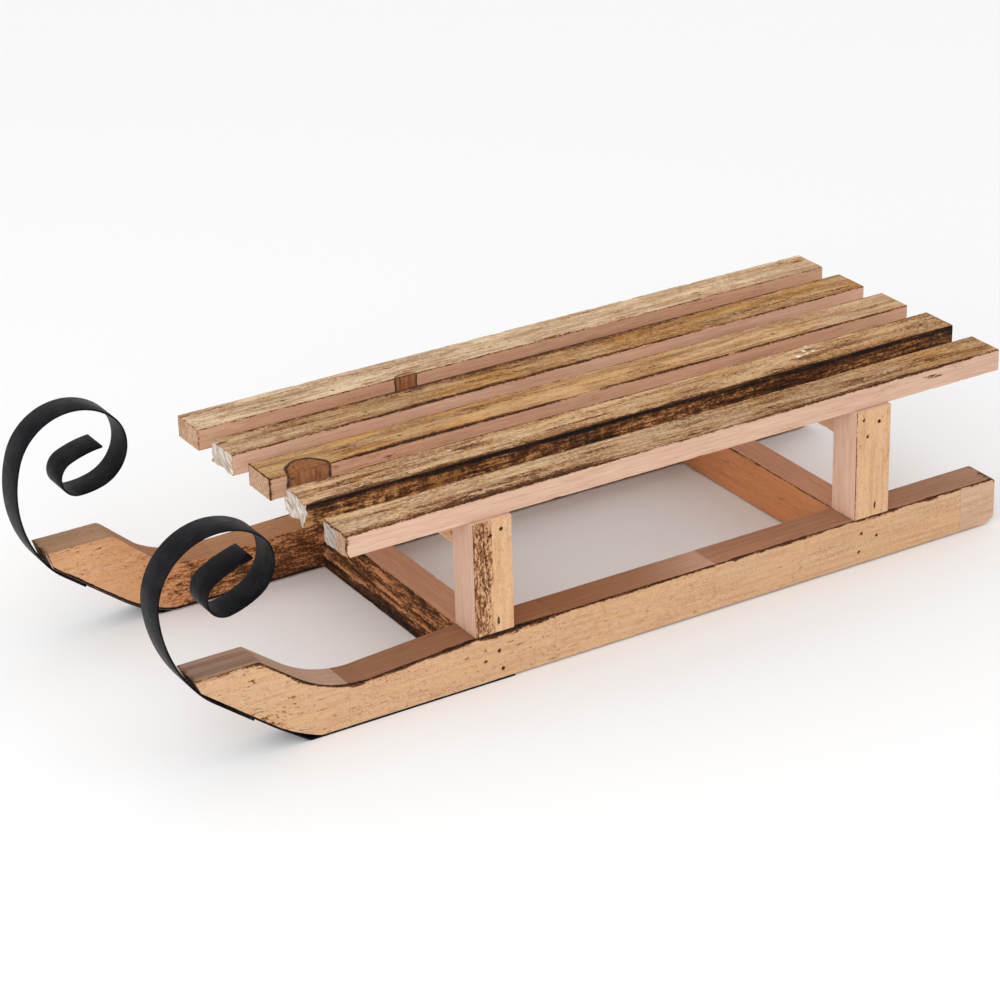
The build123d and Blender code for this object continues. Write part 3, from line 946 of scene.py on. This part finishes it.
def shape_block(piece, block, outline):
    """Round a block's edges, hardly at all beside a glue joint, and bend it to the runner's outline."""
    front_wear = 1 if block == "nose" else JOINT_EDGE
    rear_wear = 1 if block == "tail" else JOINT_EDGE
    in_front = piece.flat[:, Y] < (piece.low[Y] + piece.high[Y]) / 2
    radius = np.clip(EDGE_WEAR * (1 + 0.5 * piece.noise((9, 9, 9), 1)), 0.1, 0.8)
    joint_radius = np.maximum(radius * np.where(in_front, front_wear, rear_wear), 0.03)
    radius = np.stack([radius, joint_radius, radius], axis=1)
    piece.points = rounded(piece.points, piece.low, piece.high, radius)
    lean = NOSE_LEAN if block == "nose" else 0.0
    piece.points = lay_on_outline(piece.points, piece.low, piece.high, outline, lean)
    piece.flat = lay_on_outline(piece.flat, piece.low, piece.high, outline, lean)


def scorch_outer_edge(piece, outline, outer):
    """A dark line along the outer top edge, thick by the front upright's foot and where the nose rises."""
    y = piece.flat[:, Y]
    down = outline.top(y) - piece.flat[:, Z]
    foot = np.exp(-(((y + 70) / 34) ** 2)) + 0.8 * np.exp(-(((y + 175) / 22) ** 2))
    uneven = 1 + 0.5 * piece.noise((14, 60, 60), 3) + 0.3 * piece.noise((4, 60, 60), 4)
    width = (1.5 + 1.1 * foot) * uneven
    inward = np.abs(np.abs(piece.flat[:, X]) - max(abs(piece.low[X]), abs(piece.high[X])))
    edge = np.clip(1.2 - (down + 1.6 * inward) / np.maximum(width, 0.15), 0, 1) * (outer | piece.on["+z"])
    piece.scorch((0.68 + 0.2 * foot) * (0.5 + 0.5 * smooth(y, -215, -190)) * edge)


def darken_right_inside(piece, outline, inside, dashes):
    """The right runner's inner face, seen under the seat: mottled, with a black lower rim in front."""
    look = piece.look
    y, z = piece.flat[:, Y], piece.flat[:, Z]
    look["tone"] = np.where(inside, 0.92, look["tone"])
    look["warm"] = np.where(inside, 0.25 + 0.4 * smooth(y, -230, -150), look["warm"])
    look["rough"] = np.where(inside, 1.0, look["rough"])
    look["rough"] = np.where(piece.on["+z"], 0.8, look["rough"])
    # A black band darkens the lower edge of the inner face, in front.
    rim = 1.6 * (1 + 0.25 * piece.noise((7, 60, 60), 9)) * (1 - smooth(y, -90, -70))
    dark_lower_band = 1.15 * (1 - smooth((z - outline.bottom(y)) / np.maximum(rim, 0.1), 0.55, 1.1))
    piece.scorch(dark_lower_band * inside)
    piece.scorch(0.42 * dashes * inside)
    back = smooth(y, -215, -120)
    low_down = 1 - smooth(z, 4, 24)
    mottled = 0.06 + 0.3 * back + 0.12 * low_down * back + 0.14 * piece.noise((14, 4, 4), 5)
    piece.scorch(np.clip(mottled, 0, 1) * inside)


def mark_nose(piece, side, outer):
    """Saw bands on the nose's flat, dark dots on its outer face, and a singed front edge."""
    y, z = piece.flat[:, Y], piece.flat[:, Z]
    top = piece.on["+z"]
    flat = top & (y < piece.low[Y] + NOSE_FLAT)
    depth = 0.3 if side == "left" else 0.12
    piece.look["tone"] *= 1 - depth * smooth(piece.noise((90, 2.2, 9), 6), -0.3, 0.5) * flat
    pitted = np.exp(-(((y + 205) / 20) ** 2) - ((z - 18) / 8) ** 2) * outer
    cluster = smooth(piece.noise((3.2, 1.1, 1.1), 10), 0.15, 0.5)
    piece.scorch((0.1 + 0.38 * cluster) * pitted)
    front = np.clip(1 - (y - piece.low[Y]) / 3.0, 0, 1) * 0.3
    piece.scorch(front * (top | piece.on["-y"]))


def mark_tail(piece, outer):
    """End grain, a smoother outer face, and a singed rear end of the top."""
    look = piece.look
    look["end"] = np.where(piece.on["+y"], 1.0, 0.0)
    look["rough"] = np.where(outer, 0.45, look["rough"])
    before = piece.high[Y] - piece.flat[:, Y]
    piece.scorch(0.7 * np.clip(1 - before / (6 + 3 * piece.noise((40, 5, 5), 7)), 0, 1) * piece.on["+z"])


def make_runner_block(side, index):
    block = RUNNER_BLOCKS[index]
    name = f"{side}_runner_{block}_block"
    sign = SIDES[side]
    outline = OUTLINES[side]
    low, high = box_mm(name)
    heads = [
        head for head in PITS["sides"]
        if head[X] * sign > 0 and low[Y] < head[Y] < high[Y] and head[Z] < RUNNER_BRADS_BELOW
    ]
    marks = ((), [head[Y] for head in heads], [head[Z] for head in heads])
    piece = Piece(name, Y, 40 + 5 * (sign > 0) + index, marks)
    shape_block(piece, block, outline)

    look = piece.look
    outer, inner = [piece.on[face] for face in outer_and_inner(side)]
    y = piece.flat[:, Y]
    rows = RUNNER_TOP[side]
    look["rough"] = np.where(outer, 1.0, 0.0)
    look["tone"] = np.where(piece.on["+z"], table(rows, 1, y), 1.0)
    look["warm"] = np.where(piece.on["+z"], table(rows, 2, y), 0.0)
    look["tone"] *= 1 + 0.05 * piece.noise((40, 10, 10), 2)
    look["tone"] = np.where(outer, 0.91, look["tone"])
    scorch_outer_edge(piece, outline, outer)
    dashes = smooth(piece.noise((2.6, 0.8, 0.8), 8), 0.38, 0.75) * (block != "tail")
    if side == "right":
        darken_right_inside(piece, outline, inner, dashes)
    else:
        look["warm"] = np.where(inner, 0.6, look["warm"])
        look["tone"] = np.where(inner, 0.85, look["tone"])
    pocked = 0.21 + 0.15 * (1 - smooth(y, -190, -150))
    piece.scorch(pocked * dashes * outer)
    if block == "nose":
        mark_nose(piece, side, outer)
    if block == "tail":
        mark_tail(piece, outer)
    piece.relief(0.07, 0.03)
    for head in heads:
        piece.pit(head, X, SIDE_PIT_DEPTH)
    piece.finish("runner_wood")


# -------------------------------------------------------- steel
def finish_steel():
    """Give the frame's own strips, brads and tacks a finish, and soften the strips' edges."""
    for entry in frame["record"]["subparts"]:
        slot = entry["material_slot"]
        if "steel" not in slot:
            continue
        node = frame["nodes"][entry["node"]]
        node.data.materials.clear()
        node.data.materials.append(MATERIALS[slot])
        if slot == "black_steel":
            weld = node.modifiers.new("weld", "WELD")
            weld.merge_threshold = 0.00001
            bevel = node.modifiers.new("bevel", "BEVEL")
            bevel.width = 0.0002
            bevel.segments = 2
            bevel.angle_limit = radians(40)


# -------------------------------------------------------- camera, light and floor
# The camera looks at the middle of the sledge from its front left. Angles are in degrees.
CAMERA_AZIMUTH = 59.1224
CAMERA_ELEVATION = 25.4284
CAMERA_ROLL = -1.6049
CAMERA_DISTANCE = 1.6204
CAMERA_TARGET = Vector((0, -0.01204, 0.05278))
CAMERA_LENS = 111.0
CAMERA_SHIFT = (0.0007, -0.0056)


def add_camera():
    azimuth = radians(CAMERA_AZIMUTH)
    elevation = radians(CAMERA_ELEVATION)
    roll = radians(CAMERA_ROLL)
    right = Vector((cos(azimuth), sin(azimuth), 0))
    back = Vector((sin(azimuth) * cos(elevation), -cos(azimuth) * cos(elevation), sin(elevation)))
    up = back.cross(right)
    rolled_right = right * cos(roll) + up * sin(roll)
    rolled_up = up * cos(roll) - right * sin(roll)
    data = bpy.data.cameras.new("camera")
    data.lens = CAMERA_LENS
    data.shift_x, data.shift_y = CAMERA_SHIFT
    data.clip_start = 0.01
    camera = bpy.data.objects.new("camera", data)
    place = CAMERA_TARGET + back * CAMERA_DISTANCE
    axes = Matrix((rolled_right, rolled_up, back)).transposed().to_4x4()
    camera.matrix_world = Matrix.Translation(place) @ axes
    bpy.context.scene.collection.objects.link(camera)
    bpy.context.scene.camera = camera


def add_area_light(name, place, aim, size, power, colour):
    data = bpy.data.lights.new(name, "AREA")
    data.shape = "DISK"
    data.size = size
    data.energy = power
    data.color = colour
    light = bpy.data.objects.new(name, data)
    light.location = place
    light.rotation_mode = "QUATERNION"
    light.rotation_quaternion = (Vector(place) - Vector(aim)).to_track_quat("Z", "Y")
    bpy.context.scene.collection.objects.link(light)


def add_world(colour, strength):
    world = bpy.data.worlds.new("studio")
    world.use_nodes = True
    background = world.node_tree.nodes["Background"]
    background.inputs["Color"].default_value = (*colour, 1)
    background.inputs["Strength"].default_value = strength
    bpy.context.scene.world = world


def add_floor(half_size):
    mesh = bpy.data.meshes.new("floor")
    corners = [(x * half_size, y * half_size, 0) for x, y in ((-1, -1), (1, -1), (1, 1), (-1, 1))]
    mesh.from_pydata(corners, [], [(0, 1, 2, 3)])
    floor = bpy.data.objects.new("floor", mesh)
    bpy.context.scene.collection.objects.link(floor)
    material = bpy.data.materials.new("pale_floor")
    material.use_nodes = True
    shader = material.node_tree.nodes["Principled BSDF"]
    shader.inputs["Base Color"].default_value = (0.93, 0.93, 0.93, 1)
    shader.inputs["Roughness"].default_value = 0.9
    mesh.materials.append(material)


# -------------------------------------------------------- the whole scene
for number in range(1, 6):
    make_slat(number)
for end in ("front", "rear"):
    make_bearer(end)
    make_crossbar(end)
    for side in SIDES:
        make_upright(end, side)
for side in SIDES:
    for index in range(len(RUNNER_BLOCKS)):
        make_runner_block(side, index)
finish_steel()

bpy.context.scene.view_settings.view_transform = "Standard"
add_camera()
add_world((1, 1, 1), 0.98)
add_area_light("key", (1.1, -0.9, 0.9), (0, 0, 0.05), 0.9, 4, (1, 1, 1))
add_area_light("fill", (0.4, -1.4, 0.4), (0, 0, 0.05), 1.0, 4, (1, 1, 1))
add_floor(6)
